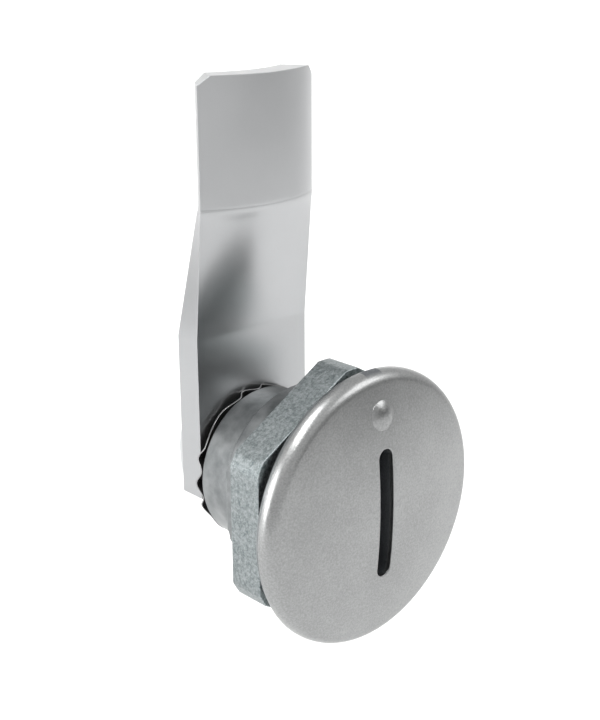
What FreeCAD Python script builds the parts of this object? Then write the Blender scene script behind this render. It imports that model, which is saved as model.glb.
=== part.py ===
import FreeCAD, Part
import math
import os

# Quarter-turn cam latch, in millimetres, +Z up.
# The turning axis is Y. The domed head faces -Y and the cam hangs on the rear end.
# y = 0 is the seat, where the housing's flange meets the panel. The cam points up at rest.

Vec = FreeCAD.Vector
ORIGIN = Vec(0, 0, 0)
AXIS = Vec(0, 1, 0)
FULL_TURN = 360.0

# Clearances
RUNNING_FIT = 0.05
HEAD_GAP = 0.10
SQUARE_FIT = 0.05
THREAD_FIT = 0.03
SPRING_GAP = 0.02
STOP_GAP_DEG = 1.0
# How far a cutting tool stands past the face that it cuts
OVERCUT = 1.0

# Housing: flange, threaded body with two flats, plain rear sleeve
THREAD_STEP = 2.0
THREAD_FLAT_DEPTH = 0.95
THREAD_LENGTH = 9.6
THREAD_END_BEVEL = 0.4
FLANGE_WIDTH = 4.2
FLANGE_THICKNESS = 1.4
FLANGE_BEVEL = 1.05
SLEEVE_WALL = 1.0
BODY_LENGTH = 15.15
RIM_BREAK = 0.12

# Domed head with its coin slot and index dot
HEAD_OVERHANG = 0.3
HEAD_CROWN = 3.05
RIM_ROUND = 1.5
RIM_LAND = 0.4
RIM_BEVEL = 0.15
SLOT_WIDTH = 1.8
SLOT_LENGTH = 15.2
SLOT_DEPTH = 2.7
DOT_INSET = 4.4
DOT_RADIUS = 1.65
DOT_RISE = 0.5
DOT_ROOT = 0.4

# Spindle behind the head, turned in one piece with it
SPINDLE_RADIUS = 6.0
SEAL_FROM_SEAT = 2.6
SEAL_SECTION = 1.4
SEAL_SQUEEZE_GAP = 0.08
SEAL_GROOVE_SIDE = 0.15
SQUARE_SIDE = 8.0
SQUARE_CORNER_STEP = 0.5
SQUARE_SHORT_OF_CAM = 0.15
SHOULDER_PROUD = 0.05

# Stop disc on the square, with the tab that limits the turn
STOP_HUB_WIDTH = 1.1
STOP_TAB_REACH = 0.9
STOP_TAB_THICKNESS = 1.5
STOP_TAB_SPAN_DEG = 50.0
STOP_TAB_CENTRE_DEG = 135.0
STOP_RECESS_DEPTH = 1.7
TURN_DEG = 90.0

# Wave spring between the housing's rear rim and the cam
SPRING_SPACE = 1.12
SPRING_SHEET = 0.2
SPRING_HUB_GAP = 0.15
SPRING_GROUPS = 4
SPRING_FIRST_CREST_DEG = 4.5
SPRING_VALLEY_DEG = 12.5
SPRING_SIDE_CREST_DEG = 24.0
SPRING_REST_DEG = 33.0
SPRING_REST_LEVEL = 0.2
SPRING_POINTS_PER_GROUP = 30

# Cam, bent from one strip
CAM_WIDTH = 16.3
CAM_THICKNESS = 3.35
CAM_TOP = 44.85
CAM_JOG = 3.83
FOLD_LOW = 16.2
FOLD_HIGH = 31.0
FOLD_EASE = 0.4
TONGUE_RADIUS = 14.07
TIP_CLIP_WIDTH = 1.4
TIP_CLIP_HEIGHT = 1.0
HEEL_CORNER = 2.7
HEEL_SLOPE_DEG = 30.0
HEEL_ROUND = 2.5

# Hexagon nut that clamps the panel
NUT_WALL = 2.45
NUT_CORNER_INSIDE_FLANGE = 0.13
NUT_THICKNESS = 4.35
NUT_BORE_BEVEL = 0.5

# Flat gasket under the flange
GASKET_WIDTH = 2.0
GASKET_THICKNESS = 0.5

# Cam screw and its toothed lock washer
SCREW_RADIUS = 3.0
SCREW_LENGTH = 12.0
SCREW_TIP_BEVEL = 0.6
SCREW_HEAD_ACROSS_FLATS = 10.0
SCREW_HEAD_HEIGHT = 4.0
SCREW_HEAD_BEVEL_DEG = 30.0
SCREW_TURN_DEG = 24.0
TAPPED_HOLE_SPARE = 1.5
LOCK_HEIGHT = 0.7
LOCK_SHEET = 0.5
LOCK_HOLE_GAP = 0.2
LOCK_BODY_WIDTH = 1.3
LOCK_TOOTH_LENGTH = 1.0
LOCK_TOOTH_WIDTH = 2.0
LOCK_TEETH = 8

# Radii worked out from the spindle outwards to the head
STOP_HUB_RADIUS = SPINDLE_RADIUS + STOP_HUB_WIDTH
STOP_TAB_RADIUS = STOP_HUB_RADIUS + STOP_TAB_REACH
SLEEVE_RADIUS = STOP_TAB_RADIUS + SLEEVE_WALL
THREAD_RADIUS = SLEEVE_RADIUS + THREAD_STEP
FLANGE_RADIUS = THREAD_RADIUS + FLANGE_WIDTH
HEAD_RADIUS = FLANGE_RADIUS + HEAD_OVERHANG
DOT_FROM_AXIS = HEAD_RADIUS - DOT_INSET
GASKET_RADIUS = THREAD_RADIUS + GASKET_WIDTH
NUT_ACROSS_FLATS = 2 * (THREAD_RADIUS + NUT_WALL)
NUT_TRIM_RADIUS = FLANGE_RADIUS - NUT_CORNER_INSIDE_FLANGE
SQUARE_CORNER_RADIUS = SPINDLE_RADIUS - SQUARE_CORNER_STEP
LOCK_HOLE_RADIUS = SCREW_RADIUS + LOCK_HOLE_GAP
LOCK_BODY_RADIUS = LOCK_HOLE_RADIUS + LOCK_BODY_WIDTH
LOCK_TOOTH_RADIUS = LOCK_BODY_RADIUS + LOCK_TOOTH_LENGTH
BORE_RADIUS = SPINDLE_RADIUS + RUNNING_FIT
RECESS_RADIUS = STOP_HUB_RADIUS + RUNNING_FIT
NUT_BORE_RADIUS = THREAD_RADIUS + THREAD_FIT

# Stations along the axis
HEAD_REAR = -FLANGE_THICKNESS - HEAD_GAP
HEAD_WIDEST = HEAD_REAR - RIM_LAND
HEAD_APEX = HEAD_WIDEST - HEAD_CROWN
RECESS_FLOOR = BODY_LENGTH - STOP_RECESS_DEPTH
SHOULDER = RECESS_FLOOR + SHOULDER_PROUD
CAM_FRONT = BODY_LENGTH + SPRING_SPACE
CAM_REAR = CAM_FRONT + CAM_THICKNESS
SQUARE_END = CAM_REAR - SQUARE_SHORT_OF_CAM
SCREW_SEAT = CAM_REAR + LOCK_HEIGHT
SCREW_TIP = SCREW_SEAT - SCREW_LENGTH


def turned(profile):
    """Solid of revolution about the axis, from (radius, y) corners."""
    corners = [Vec(radius, y, 0) for radius, y in profile]
    outline = Part.makePolygon(corners + [corners[0]])
    return Part.Face(outline).revolve(ORIGIN, AXIS, FULL_TURN)


def cylinder(radius, start, end):
    return Part.makeCylinder(radius, end - start, Vec(0, start, 0), AXIS)


def square_bar(side, start, end):
    half = side / 2
    return Part.makeBox(side, end - start, side, Vec(-half, start, -half))


def hexagon_bar(across_flats, start, end):
    """Hexagonal prism along the axis with one corner pointing up."""
    corner = across_flats / 2 / math.cos(math.radians(30))
    points = []
    for index in range(6):
        angle = math.radians(60 * index)
        points.append(Vec(corner * math.sin(angle), start, corner * math.cos(angle)))
    outline = Part.makePolygon(points + [points[0]])
    return Part.Face(outline).extrude(Vec(0, end - start, 0))


def sector(inner, outer, start, end, from_deg, span_deg):
    """Part of a ring. Angles run clockwise from the top as seen from the front."""
    corners = [Vec(inner, start, 0), Vec(outer, start, 0), Vec(outer, end, 0), Vec(inner, end, 0)]
    face = Part.Face(Part.makePolygon(corners + [corners[0]]))
    face.rotate(ORIGIN, AXIS, from_deg - 90)
    return face.revolve(ORIGIN, AXIS, span_deg)


def housing():
    """Flange, threaded body and rear sleeve in one piece, bored for the spindle."""
    body = turned([
        (BORE_RADIUS, -FLANGE_THICKNESS),
        (FLANGE_RADIUS, -FLANGE_THICKNESS),
        (FLANGE_RADIUS, -FLANGE_BEVEL),
        (FLANGE_RADIUS - FLANGE_BEVEL, 0),
        (THREAD_RADIUS, 0),
        (THREAD_RADIUS, THREAD_LENGTH - THREAD_END_BEVEL),
        (THREAD_RADIUS - THREAD_END_BEVEL, THREAD_LENGTH),
        (SLEEVE_RADIUS, THREAD_LENGTH),
        (SLEEVE_RADIUS, BODY_LENGTH - RIM_BREAK),
        (SLEEVE_RADIUS - RIM_BREAK, BODY_LENGTH),
        (RECESS_RADIUS, BODY_LENGTH),
        (RECESS_RADIUS, RECESS_FLOOR),
        (BORE_RADIUS, RECESS_FLOOR),
    ])
    for side in (-1, 1):
        flat = Part.makeBox(THREAD_RADIUS, THREAD_LENGTH, 2 * THREAD_RADIUS)
        flat.translate(Vec(THREAD_RADIUS - THREAD_FLAT_DEPTH, 0, -THREAD_RADIUS))
        if side < 0:
            flat = flat.mirror(ORIGIN, Vec(1, 0, 0))
        body = body.cut(flat)
    tab_half = STOP_TAB_SPAN_DEG / 2
    stop_path = sector(
        BORE_RADIUS,
        STOP_TAB_RADIUS + RUNNING_FIT,
        RECESS_FLOOR,
        BODY_LENGTH + OVERCUT,
        STOP_TAB_CENTRE_DEG - tab_half - STOP_GAP_DEG,
        TURN_DEG + STOP_TAB_SPAN_DEG + 2 * STOP_GAP_DEG,
    )
    return body.cut(stop_path)


def dome_radius():
    """Radius of the sphere that passes the apex and runs smoothly into the rim's rounding."""
    reach = HEAD_RADIUS - RIM_ROUND
    return (reach ** 2 + HEAD_CROWN ** 2 - RIM_ROUND ** 2) / (2 * (HEAD_CROWN - RIM_ROUND))


def index_dot():
    """Low domed dot that stands on the crown, square to its surface."""
    ball = (DOT_RADIUS ** 2 + DOT_RISE ** 2) / (2 * DOT_RISE)
    middle = DOT_RADIUS / 2
    middle_rise = DOT_RISE - ball + math.sqrt(ball ** 2 - middle ** 2)
    foot = Vec(DOT_RADIUS, 0, 0)
    top = Vec(0, -DOT_RISE, 0)
    edges = [
        Part.Arc(foot, Vec(middle, -middle_rise, 0), top).toShape(),
        Part.makeLine(top, Vec(0, DOT_ROOT, 0)),
        Part.makeLine(Vec(0, DOT_ROOT, 0), Vec(DOT_RADIUS, DOT_ROOT, 0)),
        Part.makeLine(Vec(DOT_RADIUS, DOT_ROOT, 0), foot),
    ]
    dot = Part.Face(Part.Wire(edges)).revolve(ORIGIN, AXIS, FULL_TURN)
    dome = dome_radius()
    lean = math.asin(DOT_FROM_AXIS / dome)
    dot.rotate(ORIGIN, Vec(1, 0, 0), -math.degrees(lean))
    dot.translate(Vec(0, HEAD_APEX + dome - dome * math.cos(lean), DOT_FROM_AXIS))
    return dot


def coin_slot():
    """Obround slot for a coin or a flat key."""
    straight = SLOT_LENGTH / 2 - SLOT_WIDTH / 2
    start = HEAD_APEX - OVERCUT
    depth = SLOT_DEPTH + OVERCUT
    tool = Part.makeBox(SLOT_WIDTH, depth, 2 * straight, Vec(-SLOT_WIDTH / 2, start, -straight))
    for height in (-straight, straight):
        end = Part.makeCylinder(SLOT_WIDTH / 2, depth, Vec(0, start, height), AXIS)
        tool = tool.fuse(end)
    return tool


def domed_head():
    """Crowned disc and spindle in one piece, with the slot, the dot, the square and a tapped hole."""
    dome = dome_radius()
    rim_centre = Vec(HEAD_RADIUS - RIM_ROUND, HEAD_WIDEST, 0)
    dome_centre = Vec(0, HEAD_APEX + dome, 0)
    outward = (rim_centre - dome_centre).normalize()
    tangent = dome_centre + outward * dome
    half_angle = math.asin(outward.x) / 2
    dome_middle = dome_centre + Vec(math.sin(half_angle), -math.cos(half_angle), 0) * dome
    bisector = (outward + Vec(1, 0, 0)).normalize()
    rim_middle = rim_centre + bisector * RIM_ROUND
    apex = Vec(0, HEAD_APEX, 0)
    widest = Vec(HEAD_RADIUS, HEAD_WIDEST, 0)
    rear = [
        widest,
        Vec(HEAD_RADIUS, HEAD_REAR - RIM_BEVEL, 0),
        Vec(HEAD_RADIUS - RIM_BEVEL, HEAD_REAR, 0),
        Vec(SPINDLE_RADIUS, HEAD_REAR, 0),
        Vec(SPINDLE_RADIUS, SHOULDER, 0),
        Vec(0, SHOULDER, 0),
        apex,
    ]
    edges = [Part.Arc(apex, dome_middle, tangent).toShape(), Part.Arc(tangent, rim_middle, widest).toShape()]
    for first, second in zip(rear, rear[1:]):
        edges.append(Part.makeLine(first, second))
    head = Part.Face(Part.Wire(edges)).revolve(ORIGIN, AXIS, FULL_TURN)
    square = square_bar(SQUARE_SIDE, SHOULDER, SQUARE_END)
    square = square.common(cylinder(SQUARE_CORNER_RADIUS, SHOULDER, SQUARE_END))
    head = head.fuse(square).fuse(index_dot()).cut(coin_slot())
    half_groove = SEAL_SECTION / 2 + SEAL_GROOVE_SIDE
    groove = turned([
        (groove_radius(), SEAL_FROM_SEAT - half_groove),
        (SPINDLE_RADIUS + OVERCUT, SEAL_FROM_SEAT - half_groove),
        (SPINDLE_RADIUS + OVERCUT, SEAL_FROM_SEAT + half_groove),
        (groove_radius(), SEAL_FROM_SEAT + half_groove),
    ])
    hole = cylinder(SCREW_RADIUS + THREAD_FIT, SCREW_TIP - TAPPED_HOLE_SPARE, SQUARE_END + OVERCUT)
    return head.cut(groove).cut(hole)


def groove_radius():
    return BORE_RADIUS - SEAL_SQUEEZE_GAP - SEAL_SECTION


def spindle_o_ring():
    """Seal in the spindle's groove, just clear of the bore."""
    section = SEAL_SECTION / 2
    return Part.makeTorus(groove_radius() + section, section, Vec(0, SEAL_FROM_SEAT, 0), AXIS)


def panel_gasket():
    ring = cylinder(GASKET_RADIUS, 0, GASKET_THICKNESS)
    return ring.cut(cylinder(THREAD_RADIUS + THREAD_FIT, -OVERCUT, GASKET_THICKNESS + OVERCUT))


def hex_nut():
    """Thin nut whose corners are turned off to a cylinder."""
    start = GASKET_THICKNESS
    end = start + NUT_THICKNESS
    nut = hexagon_bar(NUT_ACROSS_FLATS, start, end).common(cylinder(NUT_TRIM_RADIUS, start, end))
    wide = NUT_BORE_RADIUS + NUT_BORE_BEVEL
    bore = turned([
        (0, start - OVERCUT),
        (wide, start - OVERCUT),
        (wide, start),
        (NUT_BORE_RADIUS, start + NUT_BORE_BEVEL),
        (NUT_BORE_RADIUS, end - NUT_BORE_BEVEL),
        (wide, end),
        (wide, end + OVERCUT),
        (0, end + OVERCUT),
    ])
    return nut.cut(bore)


def stop_disc():
    """Disc on the square. Its tab runs in the housing's recess and ends the turn."""
    hub = cylinder(STOP_HUB_RADIUS, SHOULDER, CAM_FRONT)
    tab = sector(
        SPINDLE_RADIUS,
        STOP_TAB_RADIUS,
        SHOULDER,
        SHOULDER + STOP_TAB_THICKNESS,
        STOP_TAB_CENTRE_DEG - STOP_TAB_SPAN_DEG / 2,
        STOP_TAB_SPAN_DEG,
    )
    hole = square_bar(SQUARE_SIDE + 2 * SQUARE_FIT, SHOULDER - OVERCUT, CAM_FRONT + OVERCUT)
    return hub.fuse(tab).cut(hole)


def spring_level(angle_deg):
    """Height of the spring's wave, 0 on the rim and 1 on the cam, at an angle from a group's crest."""
    period = 360.0 / SPRING_GROUPS
    offset = abs((angle_deg + period / 2) % period - period / 2)
    stations = [
        (0.0, 1.0),
        (SPRING_VALLEY_DEG, 0.0),
        (SPRING_SIDE_CREST_DEG, 1.0),
        (SPRING_REST_DEG, SPRING_REST_LEVEL),
        (period / 2, SPRING_REST_LEVEL),
    ]
    for (start, low), (end, high) in zip(stations, stations[1:]):
        if offset <= end:
            share = (offset - start) / (end - start)
            return low + (high - low) * (1 - math.cos(math.pi * share)) / 2
    return SPRING_REST_LEVEL


def spring_edge(radius, from_sheet_middle):
    """Closed wavy curve round the axis."""
    low = BODY_LENGTH + SPRING_GAP + SPRING_SHEET / 2
    high = CAM_FRONT - SPRING_GAP - SPRING_SHEET / 2
    count = SPRING_GROUPS * SPRING_POINTS_PER_GROUP
    points = []
    for index in range(count):
        angle = 360.0 * index / count
        y = low + (high - low) * spring_level(angle - SPRING_FIRST_CREST_DEG) + from_sheet_middle
        turn = math.radians(angle)
        points.append(Vec(radius * math.cos(turn), y, radius * math.sin(turn)))
    curve = Part.BSplineCurve()
    curve.interpolate(Points=points, PeriodicFlag=True)
    return curve.toShape()


def wave_washer():
    """Spring washer of thin sheet, waved in groups of three crests."""
    inner = STOP_HUB_RADIUS + SPRING_HUB_GAP
    half = SPRING_SHEET / 2
    corners = [(inner, -half), (SLEEVE_RADIUS, -half), (SLEEVE_RADIUS, half), (inner, half)]
    rails = [spring_edge(radius, offset) for radius, offset in corners]
    faces = [Part.makeRuledSurface(first, second) for first, second in zip(rails, rails[1:] + rails[:1])]
    shell = Part.Shell(faces)
    shell.sewShape()
    solid = Part.Solid(shell)
    if solid.Volume < 0:
        solid.reverse()
    return solid


def cam_heel():
    """Flat lower plate, from its pointed heel to the first fold."""
    half = CAM_WIDTH / 2
    drop = half * math.tan(math.radians(HEEL_SLOPE_DEG))
    corners = [
        Vec(-half, CAM_FRONT, FOLD_LOW - FOLD_EASE),
        Vec(-half, CAM_FRONT, -HEEL_CORNER),
        Vec(0, CAM_FRONT, -HEEL_CORNER - drop),
        Vec(half, CAM_FRONT, -HEEL_CORNER),
        Vec(half, CAM_FRONT, FOLD_LOW - FOLD_EASE),
    ]
    plate = Part.Face(Part.makePolygon(corners + [corners[0]])).extrude(Vec(0, CAM_THICKNESS, 0))
    heel = [edge for edge in plate.Edges if edge.BoundBox.ZMax < -HEEL_CORNER - drop / 2
            and edge.BoundBox.XLength < edge.BoundBox.YLength]
    return plate.makeFillet(HEEL_ROUND, heel)


def tongue_lean():
    """Half of the angle that the tongue's arch spans."""
    return math.asin(CAM_WIDTH / 2 / TONGUE_RADIUS)


def flat_section(height):
    """Outline of the flat strip at a height."""
    half = CAM_WIDTH / 2
    corners = [
        Vec(-half, CAM_FRONT, height),
        Vec(half, CAM_FRONT, height),
        Vec(half, CAM_REAR, height),
        Vec(-half, CAM_REAR, height),
    ]
    sides = zip(corners, corners[1:] + corners[:1])
    return Part.Wire([Part.makeLine(first, second) for first, second in sides])


def strip_point(side, reach, flat_y, height, share):
    """Point on the strip's outline, a share of the way from flat to arched. Side is -1, 0 or 1."""
    lean = side * tongue_lean()
    arch_centre = CAM_FRONT - CAM_JOG + TONGUE_RADIUS
    flat = Vec(side * CAM_WIDTH / 2, flat_y, height)
    arched = Vec(reach * math.sin(lean), arch_centre - reach * math.cos(lean), height)
    return flat + (arched - flat) * share


def arched_section(height, share):
    """Outline of the strip at a height, arched towards the front. A share of 1 is the tongue."""
    inner = TONGUE_RADIUS - CAM_THICKNESS
    front = [strip_point(side, TONGUE_RADIUS, CAM_FRONT, height, share) for side in (-1, 0, 1)]
    rear = [strip_point(side, inner, CAM_REAR, height, share) for side in (1, 0, -1)]
    return Part.Wire([
        Part.Arc(front[0], front[1], front[2]).toShape(),
        Part.makeLine(front[2], rear[0]),
        Part.Arc(rear[0], rear[1], rear[2]).toShape(),
        Part.makeLine(rear[2], front[0]),
    ])


def tip_clip(side):
    """Wedge that takes off one top corner of the tongue, square to the strip."""
    front = CAM_FRONT - CAM_JOG - OVERCUT
    slope = TIP_CLIP_HEIGHT / TIP_CLIP_WIDTH
    corners = [
        Vec(-side * (TIP_CLIP_WIDTH + OVERCUT), front, CAM_TOP + OVERCUT * slope),
        Vec(side * OVERCUT, front, CAM_TOP + OVERCUT * slope),
        Vec(side * OVERCUT, front, CAM_TOP - TIP_CLIP_HEIGHT - OVERCUT * slope),
    ]
    wedge = Part.Face(Part.makePolygon(corners + [corners[0]]))
    wedge = wedge.extrude(Vec(0, CAM_THICKNESS + 2 * OVERCUT, 0))
    arch_centre = Vec(0, CAM_FRONT - CAM_JOG + TONGUE_RADIUS, 0)
    wedge.rotate(arch_centre, Vec(0, 0, 1), side * math.degrees(tongue_lean()))
    return wedge


def cam():
    """Strip that is flat on the square, steps forward over two eased folds and ends in an arched tongue."""
    eased = FOLD_EASE / (FOLD_HIGH - FOLD_LOW)
    arched = arched_section(FOLD_HIGH + FOLD_EASE, 1)
    step = Part.makeLoft([
        flat_section(FOLD_LOW - FOLD_EASE),
        arched_section(FOLD_LOW + FOLD_EASE, eased),
        arched_section(FOLD_HIGH - FOLD_EASE, 1 - eased),
        arched,
    ], True, True)
    tongue = Part.Face(arched).extrude(Vec(0, 0, CAM_TOP - FOLD_HIGH - FOLD_EASE))
    for side in (-1, 1):
        tongue = tongue.cut(tip_clip(side))
    strip = cam_heel().fuse([step, tongue]).removeSplitter()
    hole = square_bar(SQUARE_SIDE + 2 * SQUARE_FIT, CAM_FRONT - OVERCUT, CAM_REAR + OVERCUT)
    return strip.cut(hole)


def lock_washer():
    """Washer with outside teeth, each twisted a little out of the plane."""
    middle = (CAM_REAR + SCREW_SEAT) / 2
    washer = cylinder(LOCK_BODY_RADIUS, middle - LOCK_SHEET / 2, middle + LOCK_SHEET / 2)
    twist = math.degrees(math.asin((LOCK_HEIGHT - LOCK_SHEET) / LOCK_TOOTH_WIDTH))
    reach = LOCK_TOOTH_RADIUS - LOCK_HOLE_RADIUS
    for index in range(LOCK_TEETH):
        corner = Vec(LOCK_HOLE_RADIUS, -LOCK_SHEET / 2, -LOCK_TOOTH_WIDTH / 2)
        tooth = Part.makeBox(reach, LOCK_SHEET, LOCK_TOOTH_WIDTH, corner)
        tooth.rotate(ORIGIN, Vec(1, 0, 0), twist)
        tooth.translate(Vec(0, middle, 0))
        tooth.rotate(ORIGIN, AXIS, 360.0 * index / LOCK_TEETH)
        washer = washer.fuse(tooth)
    washer = washer.common(cylinder(LOCK_TOOTH_RADIUS, CAM_REAR, SCREW_SEAT))
    return washer.cut(cylinder(LOCK_HOLE_RADIUS, CAM_REAR - OVERCUT, SCREW_SEAT + OVERCUT))


def cam_screw():
    """Hexagon screw that clamps the cam on the square."""
    end = SCREW_SEAT + SCREW_HEAD_HEIGHT
    head = hexagon_bar(SCREW_HEAD_ACROSS_FLATS, SCREW_SEAT, end)
    head.rotate(ORIGIN, AXIS, SCREW_TURN_DEG)
    flat = SCREW_HEAD_ACROSS_FLATS / 2
    drop = flat * math.tan(math.radians(SCREW_HEAD_BEVEL_DEG))
    crown = turned([
        (0, SCREW_SEAT - OVERCUT),
        (2 * flat, SCREW_SEAT - OVERCUT),
        (2 * flat, end - drop),
        (flat, end),
        (0, end),
    ])
    shank = turned([
        (0, SCREW_TIP),
        (SCREW_RADIUS - SCREW_TIP_BEVEL, SCREW_TIP),
        (SCREW_RADIUS, SCREW_TIP + SCREW_TIP_BEVEL),
        (SCREW_RADIUS, SCREW_SEAT + OVERCUT),
        (0, SCREW_SEAT + OVERCUT),
    ])
    return head.common(crown).fuse(shank)


def main():
    os.makedirs("parts", exist_ok=True)
    pieces = {
        "domed_head": domed_head,
        "housing": housing,
        "spindle_o_ring": spindle_o_ring,
        "panel_gasket": panel_gasket,
        "hex_nut": hex_nut,
        "stop_disc": stop_disc,
        "wave_washer": wave_washer,
        "cam": cam,
        "lock_washer": lock_washer,
        "cam_screw": cam_screw,
    }
    for name, make in pieces.items():
        shape = make()
        box = shape.BoundBox
        print(name, shape.isValid(), len(shape.Solids), round(shape.Volume, 1),
              [round(value, 2) for value in (box.XMin, box.XMax, box.YMin, box.YMax, box.ZMin, box.ZMax)])
        shape.exportStep("parts/" + name + ".step")


main()
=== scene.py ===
import math

import bmesh
import bpy
from mathutils import Matrix, Vector


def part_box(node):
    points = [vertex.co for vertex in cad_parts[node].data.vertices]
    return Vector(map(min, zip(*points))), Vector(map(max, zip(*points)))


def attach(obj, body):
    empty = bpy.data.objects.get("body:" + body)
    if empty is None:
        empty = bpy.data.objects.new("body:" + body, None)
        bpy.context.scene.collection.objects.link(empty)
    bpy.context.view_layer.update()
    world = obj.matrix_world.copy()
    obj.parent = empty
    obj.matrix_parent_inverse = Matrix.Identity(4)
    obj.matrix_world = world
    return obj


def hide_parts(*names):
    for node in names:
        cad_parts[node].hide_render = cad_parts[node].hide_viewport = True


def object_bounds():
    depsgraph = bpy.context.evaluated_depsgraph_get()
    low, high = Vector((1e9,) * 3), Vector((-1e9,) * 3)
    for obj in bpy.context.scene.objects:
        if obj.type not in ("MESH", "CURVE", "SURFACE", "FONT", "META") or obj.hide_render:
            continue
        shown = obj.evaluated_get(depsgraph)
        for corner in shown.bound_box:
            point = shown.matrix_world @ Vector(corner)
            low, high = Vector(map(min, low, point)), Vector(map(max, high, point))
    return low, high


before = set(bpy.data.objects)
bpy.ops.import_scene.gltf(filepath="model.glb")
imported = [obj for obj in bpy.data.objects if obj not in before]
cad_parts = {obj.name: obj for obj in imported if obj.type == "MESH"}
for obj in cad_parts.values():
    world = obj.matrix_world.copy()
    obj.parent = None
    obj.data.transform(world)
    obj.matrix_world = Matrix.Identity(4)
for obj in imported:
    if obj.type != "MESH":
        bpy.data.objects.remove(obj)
cad_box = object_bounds()

# All sizes below are in millimetres, in the latch's own frame: the turning axis is Y,
# the domed head faces -Y and the cam points up at rest.
MM = 0.001

# Sizes read from the frame
HEAD_LOW, HEAD_HIGH = (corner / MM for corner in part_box("domed_head"))
HOUSING_LOW, HOUSING_HIGH = (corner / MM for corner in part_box("housing"))
NUT_LOW, NUT_HIGH = (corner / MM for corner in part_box("hex_nut"))
SPRING_LOW, SPRING_HIGH = (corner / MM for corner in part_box("wave_washer"))
CAM_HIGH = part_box("cam")[1] / MM
SCREW_LOW, SCREW_HIGH = (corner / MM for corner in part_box("cam_screw"))

# Domed head
HEAD_RADIUS = HEAD_HIGH.x
HEAD_APEX = HEAD_LOW.y
HEAD_CROWN = 3.05
RIM_ROUND = 1.5
RIM_LAND = 0.4
RIM_BEVEL = 0.15
SLOT_WIDTH = 2.04
SLOT_LENGTH = 14.8
SLOT_DEPTH = 2.7
SLOT_LIP = 0.14
SLOT_FLOOR_BEVEL = 0.2
SLOT_FLOOR_INSET = 0.25
DOT_FROM_AXIS = 11.1
DOT_RADIUS = 1.65
DOT_RISE = 0.5
DOT_FOOT = 0.3
SPINDLE_RADIUS = 6.0
SQUARE_SIDE = 8.0
SQUARE_CORNER = 1.0
SQUARE_ROOT = 1.0
SHOULDER = 13.5
HEAD_EDGE = 0.05
HEAD_COLUMNS = 288
RIM_STEPS = 12
# Rows up the slot's wall, as shares of its height, round its lip and out over the crown, where the
# rings lie closer together near the slot
WALL_SHARES = (0.35, 0.7, 1.0)
LIP_STEPS = 4
CROWN_RINGS = 26
CROWN_CROWDING = 1.25
DOT_COLUMNS = 72
DOT_RINGS = 12

# Housing
FLANGE_RADIUS = HOUSING_HIGH.x
FLANGE_FRONT = HOUSING_LOW.y
FLANGE_BEVEL = 1.05
THREAD_RADIUS = 11.0
THREAD_HALF_FLATS = 10.05
THREAD_LENGTH = 9.6
THREAD_END_BEVEL = 0.4
SLEEVE_RADIUS = 9.0
BODY_LENGTH = HOUSING_HIGH.y
RIM_BREAK = 0.12
BORE_RADIUS = 6.05
RECESS_RADIUS = 7.15
RECESS_FLOOR = 13.45
HOUSING_EDGE = 0.07
HOUSING_COLUMNS = 240

# Nut
NUT_HALF_FLATS = NUT_HIGH.x
NUT_TRIM_RADIUS = NUT_HIGH.z
NUT_BORE_RADIUS = 11.03
NUT_BORE_BEVEL = 0.5
NUT_EDGE = 0.12
NUT_CORNER_STEPS = 4
NUT_SIDE_STEPS = 16

# Wave spring
SPRING_INNER = 7.25
SPRING_SHEET = 0.2
SPRING_EDGE = 0.04
SPRING_COLUMNS = 480
# Its wave over half a turn, as the photograph shows it: the angle from +X towards +Z, and the
# height, 0 on the housing's rim and 1 on the cam
SPRING_PERIOD_DEG = 180.0
SPRING_WAVE = [
    (72.0, 0.0),
    (82.0, 1.0),
    (91.0, 0.0),
    (101.5, 1.0),
    (109.5, 0.0),
    (127.0, 0.66),
    (153.5, 0.25),
    (163.0, 1.0),
    (172.0, 0.0),
    (183.0, 1.0),
    (192.5, 0.0),
    (203.0, 1.0),
    (213.0, 0.0),
    (232.0, 0.66),
]

# Cam
CAM_HALF_WIDTH = CAM_HIGH.x
CAM_TOP = CAM_HIGH.z
CAM_THICKNESS = 3.35
CAM_FRONT = CAM_HIGH.y - CAM_THICKNESS
CAM_JOG = 3.83
FOLD_LOW = 16.2
FOLD_HIGH = 31.0
FOLD_SOFTNESS = 0.12
FOLD_BULGE = 0.05
FOLD_BULGE_WIDTH = 1.4
TONGUE_RADIUS = 14.07
TIP_CLIP_WIDTH = 1.4
TIP_CLIP_HEIGHT = 1.0
HEEL_CORNER = 2.7
HEEL_SLOPE_DEG = 30.0
HEEL_ROUND = 2.5
SQUARE_HOLE = 8.1
HOLE_OVERSHOOT = 1.0
CAM_EDGE = 0.15
# Rows of the cam: distances from a fold, the stretch of the heel that stays clear of them, and the
# counts of rows between
FOLD_ROWS = (0.06, 0.13, 0.21, 0.32, 0.48, 0.7, 1.0, 1.4, 1.9, 2.4)
HEEL_CLEARANCE = 3.0
HEEL_ROWS = 5
STEP_ROWS = 9
TONGUE_ROWS = 10
# Columns of the cam: from the middle to a clipped corner, and over the corner
CAM_COLUMNS = 12
CLIP_COLUMNS = 3

# Cam screw
SCREW_RADIUS = 3.0
SCREW_HALF_FLATS = 5.0
SCREW_HEAD_HEIGHT = 4.0
SCREW_HEAD_BEVEL_DEG = 30.0
SCREW_FACE_RADIUS = 4.75
SCREW_EDGE = 0.08
SCREW_COLUMNS = 96


def point_round_axis(radius, y, angle):
    """Point at an angle from the top, clockwise as seen from the front."""
    return Vector((radius * math.sin(angle), y, radius * math.cos(angle)))


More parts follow.
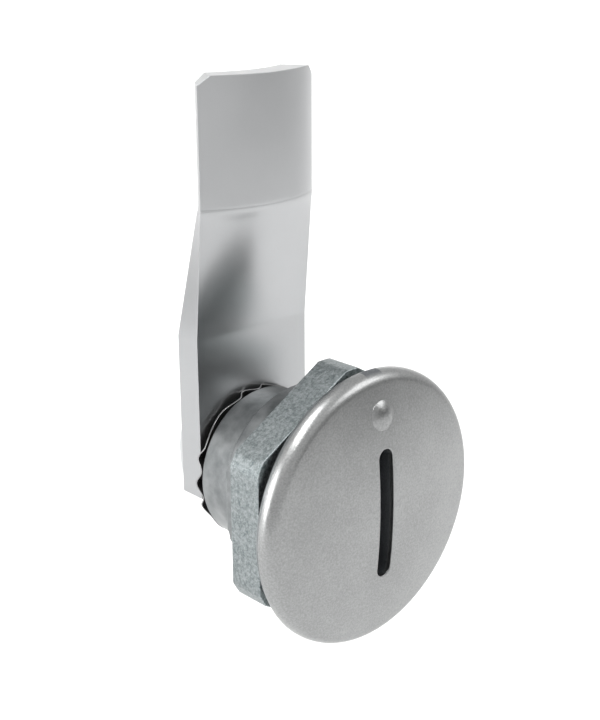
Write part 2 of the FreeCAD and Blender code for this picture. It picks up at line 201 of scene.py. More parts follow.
def mesh_object(name, points, faces):
    """Object from points in millimetres, with all faces turned outwards."""
    mesh = bpy.data.meshes.new(name)
    mesh.from_pydata([tuple(point * MM) for point in points], [], faces)
    work = bmesh.new()
    work.from_mesh(mesh)
    bmesh.ops.recalc_face_normals(work, faces=work.faces[:])
    work.to_mesh(mesh)
    work.free()
    mesh.validate()
    piece = bpy.data.objects.new(name, mesh)
    bpy.context.scene.collection.objects.link(piece)
    return piece


def skin(loops, closed_round=True, capped=True, joined=False):
    """Points and faces of a skin over a row of equally long loops, joined end to end or capped."""
    count = len(loops[0])
    points = [point for loop in loops for point in loop]
    faces = []
    rows = len(loops) if joined else len(loops) - 1
    columns = count if closed_round else count - 1
    for row in range(rows):
        here = row * count
        there = (row + 1) % len(loops) * count
        for column in range(columns):
            beside = (column + 1) % count
            faces.append((here + column, here + beside, there + beside, there + column))
    if capped and not joined:
        last = (len(loops) - 1) * count
        faces.append(tuple(range(count)))
        faces.append(tuple(range(last, last + count)))
    return points, faces


def merged(*skins):
    """Several skins as one set of points and faces."""
    points = []
    faces = []
    for some_points, some_faces in skins:
        start = len(points)
        points.extend(some_points)
        faces.extend(tuple(index + start for index in face) for face in some_faces)
    return points, faces


def finish_edges(piece, width, segments=2, limit_deg=28.0):
    """Rounded edges and smooth shading between them."""
    for polygon in piece.data.polygons:
        polygon.use_smooth = True
    bevel = piece.modifiers.new("edges", "BEVEL")
    bevel.width = width * MM
    bevel.segments = segments
    bevel.limit_method = "ANGLE"
    bevel.angle_limit = math.radians(limit_deg)
    bevel.harden_normals = True


def stadium(half_width, half_length, angle):
    """Point (x, z) on an obround, by an angle round it from the +X side."""
    straight = half_length - half_width
    height = half_length * math.sin(angle)
    side = math.copysign(1.0, math.cos(angle))
    if abs(height) <= straight:
        return side * half_width, height
    rise = min(1.0, (abs(height) - straight) / half_width)
    return side * half_width * math.sqrt(1 - rise * rise), height


def dome_radius():
    """Radius of the crown's ball, which runs smoothly into the rounded rim."""
    reach = HEAD_RADIUS - RIM_ROUND
    return (reach ** 2 + HEAD_CROWN ** 2 - RIM_ROUND ** 2) / (2 * (HEAD_CROWN - RIM_ROUND))


def dome_y(radius):
    """The crown's surface at a distance from the axis."""
    dome = dome_radius()
    return HEAD_APEX + dome - math.sqrt(dome * dome - radius * radius)


def index_dot_skin():
    """Low cap that stands on the crown, with its foot just under the surface."""
    ball = (DOT_RADIUS ** 2 + DOT_RISE ** 2) / (2 * DOT_RISE)
    reach = math.asin(DOT_RADIUS / ball)
    lean = math.asin(DOT_FROM_AXIS / dome_radius())
    turn = Matrix.Rotation(-lean, 3, "X")
    place = Vector((0, dome_y(DOT_FROM_AXIS), DOT_FROM_AXIS))
    profile = [(DOT_RADIUS, DOT_FOOT)]
    for ring in range(DOT_RINGS, 0, -1):
        angle = reach * ring / DOT_RINGS
        rise = DOT_RISE - ball + ball * math.cos(angle)
        profile.append((ball * math.sin(angle), -rise))
    loops = []
    for radius, y in profile:
        row = []
        for column in range(DOT_COLUMNS):
            row.append(turn @ point_round_axis(radius, y, math.tau * column / DOT_COLUMNS) + place)
        loops.append(row)
    return skin(loops)


def slot_loops():
    """Loops from the slot's floor, up its walls, over the lip and out over the crown.

    With them come their angles and the radius at which the crown meets the rounded rim.
    """
    half_width = SLOT_WIDTH / 2
    half_length = SLOT_LENGTH / 2
    floor_y = HEAD_APEX + SLOT_DEPTH
    wall_foot = floor_y - SLOT_FLOOR_BEVEL
    angles = [math.tau * column / HEAD_COLUMNS for column in range(HEAD_COLUMNS)]
    loops = []

    def outline(outset, height):
        row = []
        for angle in angles:
            x, z = stadium(half_width + outset, half_length + outset, angle)
            row.append(Vector((x, height(math.hypot(x, z)), z)))
        return row

    def wall_y(radius, share):
        return wall_foot * (1 - share) + (dome_y(radius) + SLOT_LIP) * share

    loops.append(outline(-SLOT_FLOOR_INSET, lambda radius: floor_y))
    loops.append(outline(0.0, lambda radius: wall_foot))
    for share in WALL_SHARES:
        loops.append(outline(0.0, lambda radius, up=share: wall_y(radius, up)))
    for step in range(1, LIP_STEPS + 1):
        turn = math.pi / 2 * step / LIP_STEPS
        outset = SLOT_LIP * (1 - math.cos(turn))
        drop = SLOT_LIP * (1 - math.sin(turn))
        loops.append(outline(outset, lambda radius, down=drop: dome_y(radius) + down))
    lip = [stadium(half_width + SLOT_LIP, half_length + SLOT_LIP, angle) for angle in angles]
    tangent = (HEAD_RADIUS - RIM_ROUND) * dome_radius() / (dome_radius() - RIM_ROUND)
    for ring in range(1, CROWN_RINGS + 1):
        share = (ring / CROWN_RINGS) ** CROWN_CROWDING
        row = []
        for angle, (x, z) in zip(angles, lip):
            px = x * (1 - share) + tangent * math.cos(angle) * share
            pz = z * (1 - share) + tangent * math.sin(angle) * share
            row.append(Vector((px, dome_y(math.hypot(px, pz)), pz)))
        loops.append(row)
    return loops, angles, tangent


def head_skin():
    """Crowned disc with the coin slot, and the spindle behind it."""
    loops, angles, tangent = slot_loops()
    rim_centre = HEAD_RADIUS - RIM_ROUND
    widest_y = HEAD_APEX + HEAD_CROWN
    start = math.acos((tangent - rim_centre) / RIM_ROUND)
    profile = []
    for step in range(1, RIM_STEPS + 1):
        turn = start * (1 - step / RIM_STEPS)
        profile.append((rim_centre + RIM_ROUND * math.cos(turn), widest_y - RIM_ROUND * math.sin(turn)))
    rear_y = widest_y + RIM_LAND
    profile.append((HEAD_RADIUS, rear_y - RIM_BEVEL))
    profile.append((HEAD_RADIUS - RIM_BEVEL, rear_y))
    profile.append((SPINDLE_RADIUS, rear_y))
    profile.append((SPINDLE_RADIUS, SHOULDER))
    for radius, y in profile:
        row = [(radius * math.cos(angle), radius * math.sin(angle)) for angle in angles]
        loops.append([Vector((x, y, z)) for x, z in row])
    return skin(loops)


def square_end_skin():
    """The spindle's square that carries the stop disc and the cam."""
    half = SQUARE_SIDE / 2
    cut = half - SQUARE_CORNER
    corners = [
        (half, cut),
        (cut, half),
        (-cut, half),
        (-half, cut),
        (-half, -cut),
        (-cut, -half),
        (cut, -half),
        (half, -cut),
    ]
    ends = (SHOULDER - SQUARE_ROOT, HEAD_HIGH.y)
    return skin([[Vector((x, y, z)) for x, z in corners] for y in ends])


def make_head():
    """Domed head with its index dot, spindle and square end."""
    points, faces = merged(head_skin(), index_dot_skin(), square_end_skin())
    piece = mesh_object("head", points, faces)
    finish_edges(piece, HEAD_EDGE, limit_deg=40.0)
    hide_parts("domed_head")
    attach(piece, "rotor")
    return piece


def make_housing():
    """Flange, threaded body with two flats, and the rear sleeve down to its bore."""
    corner = math.acos(THREAD_HALF_FLATS / THREAD_RADIUS)
    angles = [math.tau * column / HOUSING_COLUMNS for column in range(HOUSING_COLUMNS)]
    for centre in (math.pi / 2, 3 * math.pi / 2):
        for side in (-1, 1):
            exact = centre + side * corner
            nearest = min(range(HOUSING_COLUMNS), key=lambda index: abs(angles[index] - exact))
            angles[nearest] = exact
    profile = [
        (BORE_RADIUS, FLANGE_FRONT),
        (FLANGE_RADIUS, FLANGE_FRONT),
        (FLANGE_RADIUS, -FLANGE_BEVEL),
        (FLANGE_RADIUS - FLANGE_BEVEL, 0),
        (THREAD_RADIUS, 0),
        (THREAD_RADIUS, THREAD_LENGTH - THREAD_END_BEVEL),
        (THREAD_RADIUS - THREAD_END_BEVEL, THREAD_LENGTH),
        (SLEEVE_RADIUS, THREAD_LENGTH),
        (SLEEVE_RADIUS, BODY_LENGTH - RIM_BREAK),
        (SLEEVE_RADIUS - RIM_BREAK, BODY_LENGTH),
        (RECESS_RADIUS, BODY_LENGTH),
        (RECESS_RADIUS, RECESS_FLOOR),
        (BORE_RADIUS, RECESS_FLOOR),
    ]
    loops = []
    for radius, y in profile:
        row = []
        for angle in angles:
            reach = radius
            across = abs(math.sin(angle))
            flattened = 0 <= y <= THREAD_LENGTH and radius <= THREAD_RADIUS
            if flattened and radius * across > THREAD_HALF_FLATS:
                reach = THREAD_HALF_FLATS / across
            row.append(point_round_axis(reach, y, angle))
        loops.append(row)
    points, faces = skin(loops, joined=True)
    piece = mesh_object("body", points, faces)
    finish_edges(piece, HOUSING_EDGE)
    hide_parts("housing")
    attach(piece, "body")
    return piece


def nut_angles():
    """Angles round the nut with its turned corners in place."""
    corner = math.acos(NUT_HALF_FLATS / NUT_TRIM_RADIUS)
    sixth = math.pi / 3
    half_arc = sixth / 2 - corner
    angles = []
    for index in range(6):
        middle = sixth * index
        for step in range(NUT_CORNER_STEPS + 1):
            angles.append(middle - half_arc + 2 * half_arc * step / NUT_CORNER_STEPS)
        for step in range(1, NUT_SIDE_STEPS):
            angles.append(middle + half_arc + (sixth - 2 * half_arc) * step / NUT_SIDE_STEPS)
    return angles


def hexagon_reach(half_flats, angle):
    """Distance from the axis to a hexagon with a corner at angle 0."""
    sixth = math.pi / 3
    from_flat = (angle % sixth) - sixth / 2
    return half_flats / math.cos(from_flat)


def make_nut():
    """Hexagon whose corners are turned off, with a bevelled bore."""
    front = NUT_LOW.y
    rear = NUT_HIGH.y
    angles = nut_angles()
    outer = [min(NUT_TRIM_RADIUS, hexagon_reach(NUT_HALF_FLATS, angle)) for angle in angles]
    bore = [NUT_BORE_RADIUS] * len(angles)
    mouth = [NUT_BORE_RADIUS + NUT_BORE_BEVEL] * len(angles)
    stations = [
        (outer, front),
        (outer, rear),
        (mouth, rear),
        (bore, rear - NUT_BORE_BEVEL),
        (bore, front + NUT_BORE_BEVEL),
        (mouth, front),
    ]
    loops = []
    for reaches, y in stations:
        loops.append([point_round_axis(reach, y, angle) for reach, angle in zip(reaches, angles)])
    points, faces = skin(loops, joined=True)
    piece = mesh_object("clamp_nut", points, faces)
    finish_edges(piece, NUT_EDGE, segments=3)
    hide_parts("hex_nut")
    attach(piece, "body")
    return piece


def spring_level(angle_deg):
    """Height of the spring's wave, 0 on the rim and 1 on the cam."""
    first_angle, first_level = SPRING_WAVE[0]
    turned = first_angle + (angle_deg - first_angle) % SPRING_PERIOD_DEG
    stations = SPRING_WAVE + [(first_angle + SPRING_PERIOD_DEG, first_level)]
    for (start, level), (end, next_level) in zip(stations, stations[1:]):
        if turned <= end:
            share = (turned - start) / (end - start)
            return level + (next_level - level) * (1 - math.cos(math.pi * share)) / 2
    return first_level


def make_spring():
    """Wave spring as a thin waved ring."""
    low = SPRING_LOW.y + SPRING_SHEET / 2
    high = SPRING_HIGH.y - SPRING_SHEET / 2
    half = SPRING_SHEET / 2
    section = [
        (SPRING_INNER, -half),
        (SPRING_HIGH.x, -half),
        (SPRING_HIGH.x, half),
        (SPRING_INNER, half),
    ]
    loops = []
    for column in range(SPRING_COLUMNS):
        angle = math.tau * column / SPRING_COLUMNS
        middle = low + (high - low) * spring_level(math.degrees(angle))
        across = Vector((math.cos(angle), 0, math.sin(angle)))
        loops.append([across * radius + Vector((0, middle + offset, 0)) for radius, offset in section])
    points, faces = skin(loops, joined=True)
    piece = mesh_object("wave_spring", points, faces)
    finish_edges(piece, SPRING_EDGE, limit_deg=50.0)
    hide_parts("wave_washer")
    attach(piece, "rotor")
    return piece


def soft_ramp(value, start, end, softness):
    """0 before start, 1 after end, straight between, with both bends eased."""
    def eased(distance):
        return max(distance, 0.0) + softness * math.log1p(math.exp(-abs(distance) / softness))
    return (eased(value - start) - eased(value - end)) / (end - start)


def fold_bulge(height):
    """Swelling of the strip just under the upper fold, where the bend pushed the metal out."""
    share = (FOLD_HIGH - height) / FOLD_BULGE_WIDTH
    if not 0 < share < 1:
        return 0.0
    # The greatest value that share * (1 - share) ** 2 takes
    greatest = 4 / 27
    return FOLD_BULGE * share * (1 - share) ** 2 / greatest


def cam_point(share, height, inward):
    """Point of the strip: share across its width from -1 to 1, height, and depth from the front."""
    bent = soft_ramp(height, FOLD_LOW, FOLD_HIGH, FOLD_SOFTNESS)
    flat_x = share * CAM_HALF_WIDTH
    flat_y = CAM_FRONT + inward
    lean = math.asin(CAM_HALF_WIDTH / TONGUE_RADIUS) * share
    radius = TONGUE_RADIUS - inward
    arch_x = radius * math.sin(lean)
    arch_y = CAM_FRONT - CAM_JOG + TONGUE_RADIUS - radius * math.cos(lean)
    x = flat_x + (arch_x - flat_x) * bent
    y = flat_y + (arch_y - flat_y) * bent - fold_bulge(height)
    return Vector((x, y, height))


def heel_z(share):
    """Lower edge of the cam: a blunt point."""
    slope = math.radians(HEEL_SLOPE_DEG)
    x = abs(share) * CAM_HALF_WIDTH
    sharp_z = -HEEL_CORNER - CAM_HALF_WIDTH * math.tan(slope)
    centre_z = sharp_z + HEEL_ROUND / math.cos(slope)
    if x < HEEL_ROUND * math.sin(slope):
        return centre_z - math.sqrt(HEEL_ROUND ** 2 - x ** 2)
    return sharp_z + x * math.tan(slope)


def tip_z(share):
    """Upper edge of the cam, with its corners clipped square to the strip."""
    lean = math.asin(CAM_HALF_WIDTH / TONGUE_RADIUS)
    from_edge = (1 - abs(share)) * lean * TONGUE_RADIUS
    return CAM_TOP - max(0.0, 1 - from_edge / TIP_CLIP_WIDTH) * TIP_CLIP_HEIGHT


def cam_columns():
    """Shares across the width, with one at each clipped corner."""
    lean = math.asin(CAM_HALF_WIDTH / TONGUE_RADIUS)
    clip = 1 - TIP_CLIP_WIDTH / (lean * TONGUE_RADIUS)
    inner = [clip * step / CAM_COLUMNS for step in range(-CAM_COLUMNS, CAM_COLUMNS + 1)]
    edge = [clip + (1 - clip) * step / CLIP_COLUMNS for step in range(1, CLIP_COLUMNS + 1)]
    return [-value for value in reversed(edge)] + inner + edge


def cam_levels(share):
    """Heights of the rows at one column, close together round the folds."""
    heel = heel_z(share)
    marks = []
    for step in range(HEEL_ROWS):
        marks.append(heel + (FOLD_LOW - HEEL_CLEARANCE - heel) * step / HEEL_ROWS)
    spread = FOLD_ROWS[-1]
    for fold in (FOLD_LOW, FOLD_HIGH):
        marks.extend(fold - distance for distance in reversed(FOLD_ROWS))
        marks.append(fold)
        marks.extend(fold + distance for distance in FOLD_ROWS)
        if fold == FOLD_LOW:
            gap = FOLD_HIGH - FOLD_LOW - 2 * spread
            for step in range(1, STEP_ROWS):
                marks.append(FOLD_LOW + spread + gap * step / STEP_ROWS)
    top = tip_z(share)
    start = FOLD_HIGH + spread
    for step in range(1, TONGUE_ROWS + 1):
        marks.append(start + (top - start) * step / TONGUE_ROWS)
    return marks


def make_cam():
    """Stepped strip with an arched tongue, pierced by the square hole."""
    shares = cam_columns()
    levels = [cam_levels(share) for share in shares]
    rows = len(levels[0])
    loops = []
    for row in range(rows):
        front = [cam_point(share, level[row], 0.0) for share, level in zip(shares, levels)]
        rear = [cam_point(share, level[row], CAM_THICKNESS) for share, level in zip(shares, levels)]
        loops.append(front + rear[::-1])
    columns = len(shares)
    points, faces = skin(loops, capped=False)
    last = (rows - 1) * 2 * columns
    for column in range(columns - 1):
        opposite = 2 * columns - 1 - column
        faces.append((column, opposite, opposite - 1, column + 1))
        faces.append((last + column, last + column + 1, last + opposite - 1, last + opposite))
    piece = mesh_object("cam_plate", points, faces)
    pierce(piece, SQUARE_HOLE)
    finish_edges(piece, CAM_EDGE)
    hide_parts("cam")
    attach(piece, "rotor")
    return piece


def pierce(piece, side):
    """Cuts a square hole along the axis and keeps the result as the piece's mesh."""
    half = side / 2
    corners = [(half, half), (-half, half), (-half, -half), (half, -half)]
    ends = (CAM_FRONT - HOLE_OVERSHOOT, CAM_FRONT + CAM_THICKNESS + HOLE_OVERSHOOT)
    points, faces = skin([[Vector((x, y, z)) for x, z in corners] for y in ends])
    cutter = mesh_object("cutter", points, faces)
    cut = piece.modifiers.new("hole", "BOOLEAN")
    cut.operation = "DIFFERENCE"
    cut.solver = "EXACT"
    cut.object = cutter
    bpy.context.view_layer.update()
    evaluated = piece.evaluated_get(bpy.context.evaluated_depsgraph_get())
    result = bpy.data.meshes.new_from_object(evaluated)
    piece.modifiers.clear()
    piece.data = result
    bpy.data.objects.remove(cutter)


def make_screw():
    """Hexagon screw with a bevelled head."""
    seat = SCREW_HIGH.y - SCREW_HEAD_HEIGHT
    end = SCREW_HIGH.y
    slope = math.tan(math.radians(SCREW_HEAD_BEVEL_DEG))
    angles = [math.tau * column / SCREW_COLUMNS for column in range(SCREW_COLUMNS)]
    rows = []
    for angle in angles:
        reach = hexagon_reach(SCREW_HALF_FLATS, angle)
        profile = [
            (SCREW_RADIUS, SCREW_LOW.y),
            (SCREW_RADIUS, seat),
            (reach, seat),
            (reach, end - (reach - SCREW_FACE_RADIUS) * slope),
            (SCREW_FACE_RADIUS, end),
        ]
        rows.append([point_round_axis(radius, y, angle) for radius, y in profile])
    points, faces = skin(list(zip(*rows)))
    piece = mesh_object("cam_bolt", points, faces)
    finish_edges(piece, SCREW_EDGE, limit_deg=20.0)
    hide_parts("cam_screw")
    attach(piece, "rotor")
    return piece


def fill_ramp(ramp, stops):
    """Sets a colour ramp's two (position, colour) stops, eased between."""
    ramp.color_ramp.interpolation = "EASE"
    for element, (position, colour) in zip(ramp.color_ramp.elements, stops):
        element.position = position
        element.color = (*colour, 1.0)


class Nodes:
    """Small helper for a material's node tree."""

    def __init__(self, name):
        self.material = bpy.data.materials.new(name)
        self.material.use_nodes = True
        self.tree = self.material.node_tree
        self.tree.nodes.clear()
        self.shader = self.add("ShaderNodeBsdfPrincipled")
        self.link(self.shader, "BSDF", self.add("ShaderNodeOutputMaterial"), "Surface")
        self.place = self.add("ShaderNodeTexCoord")

    def add(self, kind):
        """A new node of a kind."""
        return self.tree.nodes.new(kind)

    def link(self, source, out_name, target, in_name):
        """Joins a node's named output to another node's named input."""
        self.tree.links.new(source.outputs[out_name], target.inputs[in_name])

    def noise(self, per_mm, detail=2.0):
        """Noise whose grain is about 1 / per_mm millimetres."""
        noise = self.add("ShaderNodeTexNoise")
        noise.inputs["Scale"].default_value = per_mm / MM
        noise.inputs["Detail"].default_value = detail
        self.link(self.place, "Object", noise, "Vector")
        return noise

    def colour(self, source, out_name, stops):
        """Base colour from a value, by a ramp of two (position, colour) stops."""
        ramp = self.add("ShaderNodeValToRGB")
        fill_ramp(ramp, stops)
        self.link(source, out_name, ramp, "Fac")
        self.link(ramp, "Color", self.shader, "Base Color")

    def roughness(self, noise, low, high):
        """Roughness from low to high over the middle of a noise's range."""
        span = self.eased(noise.outputs["Fac"], *NOISE_MIDDLE)
        span.inputs["To Min"].default_value = low
        span.inputs["To Max"].default_value = high
        self.link(span, "Result", self.shader, "Roughness")

    def eased(self, value, start, end):
        """A node that maps start to end of a value onto 0 to 1, eased between."""
        node = self.add("ShaderNodeMapRange")
        node.interpolation_type = "SMOOTHSTEP"
        node.inputs["From Min"].default_value = start
        node.inputs["From Max"].default_value = end
        self.tree.links.new(value, node.inputs["Value"])
        return node

    def mask(self, value, start, end):
        """0 where a value is at start, 1 where it is at end, eased between."""
        return self.eased(value, start, end).outputs["Result"]

    def maths(self, kind, first, second=0.0):
        """The result of a maths node on one or two values, each a number or a node's output."""
        node = self.add("ShaderNodeMath")
        node.operation = kind
        for index, value in enumerate((first, second)):
            if isinstance(value, (int, float)):
                node.inputs[index].default_value = value
            else:
                self.tree.links.new(value, node.inputs[index])
        return node.outputs["Value"]

    def axes(self, source):
        """The X, Y and Z outputs of the texture coordinates' place or normal."""
        split = self.add("ShaderNodeSeparateXYZ")
        self.link(self.place, source, split, "Vector")
        return split.outputs

    def shade(self, mask, colour):
        """Multiplies the base colour by a colour where the mask is 1."""
        base = self.shader.inputs["Base Color"].links[0].from_socket
        mix = self.add("ShaderNodeMix")
        mix.data_type = "RGBA"
        mix.blend_type = "MULTIPLY"
        self.tree.links.new(mask, mix.inputs["Factor"])
        self.tree.links.new(base, mix.inputs["A"])
        mix.inputs["B"].default_value = (*colour, 1.0)
        self.tree.links.new(mix.outputs["Result"], self.shader.inputs["Base Color"])

    def roughen(self, mask, amount):
        """Adds to the roughness where the mask is 1."""
        before = self.shader.inputs["Roughness"].links[0].from_socket
        added = self.maths("ADD", before, self.maths("MULTIPLY", mask, amount))
        self.tree.links.new(added, self.shader.inputs["Roughness"])

    def bump(self, noise, height_mm):
        """Lets a noise stand out of the surface by a height."""
        bump = self.add("ShaderNodeBump")
        bump.inputs["Strength"].default_value = 1.0
        bump.inputs["Distance"].default_value = height_mm * MM
        self.link(noise, "Fac", bump, "Height")
        self.link(bump, "Normal", self.shader, "Normal")


# Where on a noise's range the metals' colours and all roughnesses reach their ends
METAL_STOPS = (0.25, 0.75)
NOISE_MIDDLE = (0.2, 0.8)
# Share of a normal along an axis at which a face starts to count as facing that way, and does fully
FACING = (0.6, 0.8)
# Painted shade inside the coin slot, with added roughness: what it takes off the colour and adds to the
# roughness, the depths under the crown over which this sets in, and the distances beside the slot's
# wall where it ends
SLOT_PAINTED_SHADE = (0.5, 0.52, 0.55)
SLOT_DULLNESS = 0.3
SLOT_PAINTED_SHADE_DEPTHS = (0.2, 0.8)
SLOT_PAINTED_SHADE_CLEARANCES = (0.2, 0.05)
# Gain of the painted light on the nut's faces across the axis
END_FACE_PAINTED_LIGHT = 1.7
CUT_SIDE_SHADE = 0.84
CUT_SIDE_DULLNESS = 0.08
# Painted shade on the cam's upward-facing end
TOP_END_PAINTED_SHADE = 0.62
COOL_TINT = (-0.006, 0.0, 0.006)


def grey(value, tint=(0.0, 0.0, 0.0)):
    """Grey of a brightness, shifted by a tint."""
    return tuple(value + shift for shift in tint)


def metal(name, base, rough, blotch_per_mm, grain_per_mm, grain_height,
          tint=(0.0, 0.0, 0.0), speckle=0.2):
    """Satin metal: its colour drifts over blotches and specks, and a fine grain stands in the bump.

    base and rough are the ranges of the colour's grey and of the roughness, and speckle is the
    share that the specks have in the colour. No roughness goes below 0.285, because the denoiser
    draws contour lines on smoother metal.
    """
    nodes = Nodes(name)
    nodes.shader.inputs["Metallic"].default_value = 1.0
    cloud = nodes.noise(blotch_per_mm, detail=3.0)
    fine = nodes.noise(grain_per_mm)
    both = nodes.add("ShaderNodeMix")
    both.inputs["Factor"].default_value = speckle
    nodes.link(cloud, "Fac", both, "A")
    nodes.link(fine, "Fac", both, "B")
    stops = [(position, grey(value, tint)) for position, value in zip(METAL_STOPS, base)]
    nodes.colour(both, "Result", stops)
    nodes.roughness(cloud, *rough)
    nodes.bump(fine, grain_height)
    return nodes


def blasted_metal():
    """Bead-blasted head, with painted shade and more roughness inside the coin slot."""
    nodes = metal(
        "blasted",
        base=(0.24, 0.35),
        rough=(0.285, 0.32),
        blotch_per_mm=0.12,
        grain_per_mm=5.0,
        grain_height=0.012,
        tint=(-0.003, 0.001, 0.0),
        speckle=0.6,
    )
    place = nodes.axes("Object")
    across, along, up = place["X"], place["Y"], place["Z"]
    squares = [nodes.maths("MULTIPLY", side, side) for side in (across, up)]
    radius_squared = nodes.maths("ADD", *squares)
    sag = nodes.maths("MULTIPLY", radius_squared, 0.5 / (dome_radius() * MM))
    depth = nodes.maths("SUBTRACT", nodes.maths("SUBTRACT", along, HEAD_APEX * MM), sag)
    deep = nodes.mask(depth, *(mark * MM for mark in SLOT_PAINTED_SHADE_DEPTHS))
    beside = [(SLOT_WIDTH / 2 + clearance) * MM for clearance in SLOT_PAINTED_SHADE_CLEARANCES]
    within = nodes.mask(nodes.maths("ABSOLUTE", across), *beside)
    # Painted shade deep in the slot, between its walls; the roughness is raised there too
    painted_slot_shade = nodes.maths("MULTIPLY", deep, within)
    nodes.shade(painted_slot_shade, SLOT_PAINTED_SHADE)
    nodes.roughen(painted_slot_shade, SLOT_DULLNESS)
    return nodes.material


def cast_metal():
    """Galvanised, grainy zinc, with painted light on the faces across the axis."""
    nodes = metal(
        "cast",
        base=(0.13, 0.345),
        rough=(0.36, 0.46),
        blotch_per_mm=2.4,
        grain_per_mm=5.0,
        grain_height=0.02,
        tint=(-0.02, 0.003, 0.006),
        speckle=0.45,
    )
    # Painted light: the faces across the axis are made lighter than the rest
    ends = nodes.mask(nodes.maths("ABSOLUTE", nodes.axes("Normal")["Y"]), *FACING)
    nodes.shade(ends, grey(END_FACE_PAINTED_LIGHT))
    return nodes.material


def sleeve_metal():
    """Smoother, darker zinc of the housing."""
    nodes = metal(
        "sleeve",
        base=(0.15, 0.27),
        rough=(0.285, 0.34),
        blotch_per_mm=0.45,
        grain_per_mm=5.0,
        grain_height=0.004,
        tint=(-0.01, 0.0, 0.003),
        speckle=0.1,
    )
    return nodes.material


def plated_metal():
    """Zinc-plated steel of the screw."""
    nodes = metal(
        "plated",
        base=(0.5, 0.54),
        rough=(0.285, 0.33),
        blotch_per_mm=0.1,
        grain_per_mm=6.0,
        grain_height=0.002,
        tint=COOL_TINT,
    )
    return nodes.material


def strip_metal():
    """Zinc-plated steel of the cam, with darker, duller cut sides and painted shade on its
    upward-facing end.
    """
    nodes = metal(
        "strip",
        base=(0.425, 0.455),
        rough=(0.285, 0.31),
        blotch_per_mm=0.1,
        grain_per_mm=5.0,
        grain_height=0.001,
        tint=COOL_TINT,
    )
    facing = nodes.axes("Normal")
    cut = nodes.mask(nodes.maths("ABSOLUTE", facing["X"]), *FACING)
    # Painted shade on the faces that look up
    painted_shade_on_top = nodes.mask(facing["Z"], *FACING)
    nodes.shade(cut, grey(CUT_SIDE_SHADE))
    nodes.shade(painted_shade_on_top, grey(TOP_END_PAINTED_SHADE))
    nodes.roughen(cut, CUT_SIDE_DULLNESS)
    return nodes.material


def painted_shade_black():
    """Near-black steel of the stop disc: painted shade for the dark gaps round the wave spring."""
    nodes = metal(
        "stop_disc_painted_shade",
        base=(0.02, 0.035),
        rough=(0.4, 0.5),
        blotch_per_mm=0.8,
        grain_per_mm=6.0,
        grain_height=0.003,
    )
    return nodes.material


def spring_metal():
    """Bright spring strip."""
    nodes = metal(
        "spring",
        base=(0.25, 0.3),
        rough=(0.285, 0.34),
        blotch_per_mm=0.8,
        grain_per_mm=6.0,
        grain_height=0.002,
    )
    return nodes.material


def seal_rubber():
    """Matt black rubber of both seals."""
    nodes = Nodes("rubber")
    cloud = nodes.noise(per_mm=0.8)
    nodes.colour(cloud, "Fac", [(0.3, grey(0.02)), (0.7, grey(0.035))])
    nodes.roughness(cloud, low=0.6, high=0.75)
    nodes.bump(nodes.noise(per_mm=6.0), height_mm=0.01)
    return nodes.material


def dress(piece, material):
    """Gives a piece its one material."""
    piece.data.materials.clear()
    piece.data.materials.append(material)


def dress_node(name, material):
    """Gives a carried-over node its material."""
    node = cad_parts[name]
    if not node.material_slots:
        node.data.materials.append(material)
    for slot in node.material_slots:
        slot.material = material


def make_pieces():
    """Builds the pieces, and dresses the nodes that come over from the CAD as they are."""
    spring = spring_metal()
    rubber = seal_rubber()
    dress(make_head(), blasted_metal())
    dress(make_housing(), sleeve_metal())
    dress(make_nut(), cast_metal())
    dress(make_spring(), spring)
    dress(make_cam(), strip_metal())
    dress(make_screw(), plated_metal())
    dress_node("spindle_o_ring", rubber)
    dress_node("panel_gasket", rubber)
    # The stop disc is near black: painted shade in the gaps round the wave spring
    dress_node("stop_disc", painted_shade_black())
    dress_node("lock_washer", spring)


# Camera, fitted to the photograph's edges
CAMERA_PLACE = (-91.27, -88.24, 60.39)
CAMERA_AZIMUTH_DEG = -43.33
CAMERA_ELEVATION_DEG = 19.20
CAMERA_ROLL_DEG = -0.25
FOCAL_PIXELS = 1282.8
IMAGE_WIDTH = 600
IMAGE_HEIGHT = 720
SENSOR_HEIGHT = 36.0
CLIP_START = 5.0


def make_camera():
    """Camera at the photograph's place and angle."""
    data = bpy.data.cameras.new("camera")
    camera = bpy.data.objects.new("camera", data)
    bpy.context.scene.collection.objects.link(camera)
    azimuth = math.radians(CAMERA_AZIMUTH_DEG)
    elevation = math.radians(CAMERA_ELEVATION_DEG)
    forward = Vector((-math.sin(azimuth) * math.cos(elevation), math.cos(azimuth) * math.cos(elevation),
                      -math.sin(elevation)))
    aim = forward.to_track_quat("-Z", "Y").to_matrix()
    roll = Matrix.Rotation(math.radians(CAMERA_ROLL_DEG), 3, "Z")
    camera.matrix_world = Matrix.Translation(Vector(CAMERA_PLACE) * MM) @ (aim @ roll).to_4x4()
    data.sensor_fit = "VERTICAL"
    data.sensor_height = SENSOR_HEIGHT
    data.sensor_width = SENSOR_HEIGHT * IMAGE_WIDTH / IMAGE_HEIGHT
    data.lens = FOCAL_PIXELS * SENSOR_HEIGHT / IMAGE_HEIGHT
    data.clip_start = CLIP_START * MM
    bpy.context.scene.camera = camera


# Studio sweep: a floor that curves up to a wall, square to the camera's view
FLOOR_BELOW = 60.0
SWEEP_REACH = 3000.0
SWEEP_START = 500.0
SWEEP_RADIUS = 350.0
SWEEP_HEIGHT = 420.0
SWEEP_STEPS = 16


def floor_paint():
    """Matt, nearly white paint."""
    nodes = Nodes("floor_paint")
    nodes.colour(nodes.noise(per_mm=0.01), "Fac", [(0.3, grey(0.86)), (0.7, grey(0.88))])
    nodes.shader.inputs["Roughness"].default_value = 0.9
    return nodes.material


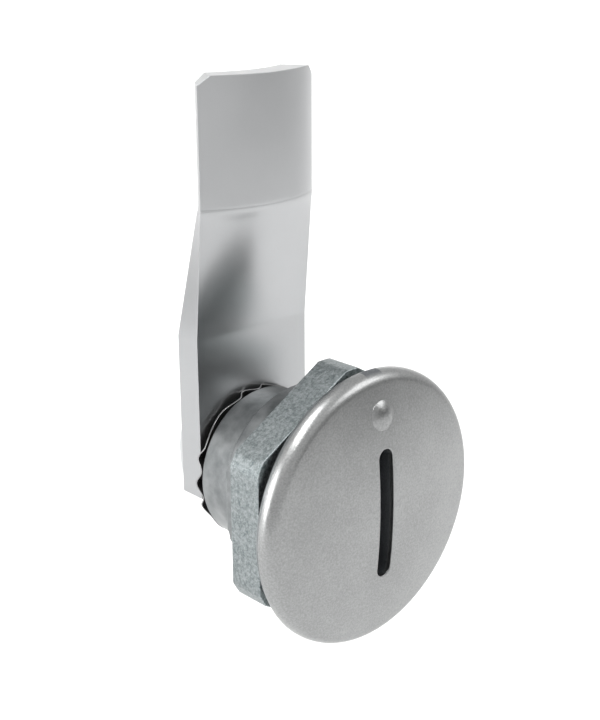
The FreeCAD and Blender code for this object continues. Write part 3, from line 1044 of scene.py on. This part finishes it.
def make_floor():
    """Wide pale floor under the latch, with the wall behind."""
    depth = cad_box[0].z / MM - FLOOR_BELOW
    azimuth = math.radians(CAMERA_AZIMUTH_DEG)
    away = Vector((-math.sin(azimuth), math.cos(azimuth), 0))
    aside = Vector((math.cos(azimuth), math.sin(azimuth), 0))
    profile = [(-SWEEP_REACH, 0.0)]
    for step in range(SWEEP_STEPS + 1):
        turn = math.pi / 2 * step / SWEEP_STEPS
        reach = SWEEP_START + SWEEP_RADIUS * math.sin(turn)
        profile.append((reach, SWEEP_RADIUS * (1 - math.cos(turn))))
    profile.append((SWEEP_START + SWEEP_RADIUS, SWEEP_HEIGHT))
    loops = []
    for reach, height in profile:
        middle = away * reach + Vector((0, 0, depth + height))
        loops.append([middle - aside * SWEEP_REACH, middle + aside * SWEEP_REACH])
    points, faces = skin(loops, closed_round=False, capped=False)
    floor = mesh_object("floor", points, faces)
    for polygon in floor.data.polygons:
        polygon.use_smooth = True
    dress(floor, floor_paint())


def soft_light(name, place, aim, size, radiance):
    """Rectangular softbox, its output given as the brightness of its face."""
    width, height = (length * MM for length in size)
    data = bpy.data.lights.new(name, "AREA")
    data.shape = "RECTANGLE"
    data.size = width
    data.size_y = height
    data.energy = radiance * width * height * math.pi
    light = bpy.data.objects.new(name, data)
    bpy.context.scene.collection.objects.link(light)
    turn = (Vector(aim) - Vector(place)).to_track_quat("-Z", "Y")
    light.matrix_world = Matrix.Translation(Vector(place) * MM) @ turn.to_matrix().to_4x4()


WORLD_BRIGHTNESS = 0.88
# The studio's darker side: its direction, the cosines of the angles from it between which it sets
# in, and the share of the brightness that is left there
DARK_SIDE = (0.56, -0.82, 0.08)
DARK_SIDE_EDGES = (0.74, 0.97)
DARK_SIDE_SHARE = 0.35
# Softboxes: place, the point they face, size and brightness
SOFTBOXES = {
    "key": ((-170, 60, 420), (0, 60, -40), (220, 220), 8.5),
    "rim": ((-258, -132, 434), (0, 0, 0), (50, 50), 40.0),
    "left": ((-500, 200, 120), (0, 0, 0), (300, 300), 6.0),
    "front": ((310, -325, 220), (0, 0, 0), (220, 220), 0.7),
    "wall": ((200, 420, 520), (700, 900, -40), (700, 400), 4.0),
    "floor_front": ((220, -240, 260), (170, -200, -44), (250, 250), 2.6),
}


def make_world():
    """Even surroundings with one darker side."""
    world = bpy.data.worlds.new("studio")
    world.use_nodes = True
    tree = world.node_tree
    background = tree.nodes["Background"]
    background.inputs["Strength"].default_value = WORLD_BRIGHTNESS
    direction = tree.nodes.new("ShaderNodeTexCoord")
    nearness = tree.nodes.new("ShaderNodeVectorMath")
    nearness.operation = "DOT_PRODUCT"
    nearness.inputs[1].default_value = Vector(DARK_SIDE).normalized()
    fade = tree.nodes.new("ShaderNodeValToRGB")
    fill_ramp(fade, zip(DARK_SIDE_EDGES, (grey(1.0), grey(DARK_SIDE_SHARE))))
    tree.links.new(direction.outputs["Generated"], nearness.inputs[0])
    tree.links.new(nearness.outputs["Value"], fade.inputs["Fac"])
    tree.links.new(fade.outputs["Color"], background.inputs["Color"])
    bpy.context.scene.world = world


def make_lights():
    """Softboxes round the latch, some of them for the floor and the wall alone."""
    for name, settings in SOFTBOXES.items():
        soft_light(name, *settings)


make_pieces()
make_camera()
make_floor()
make_world()
make_lights()
bpy.context.scene.view_settings.view_transform = "Standard"
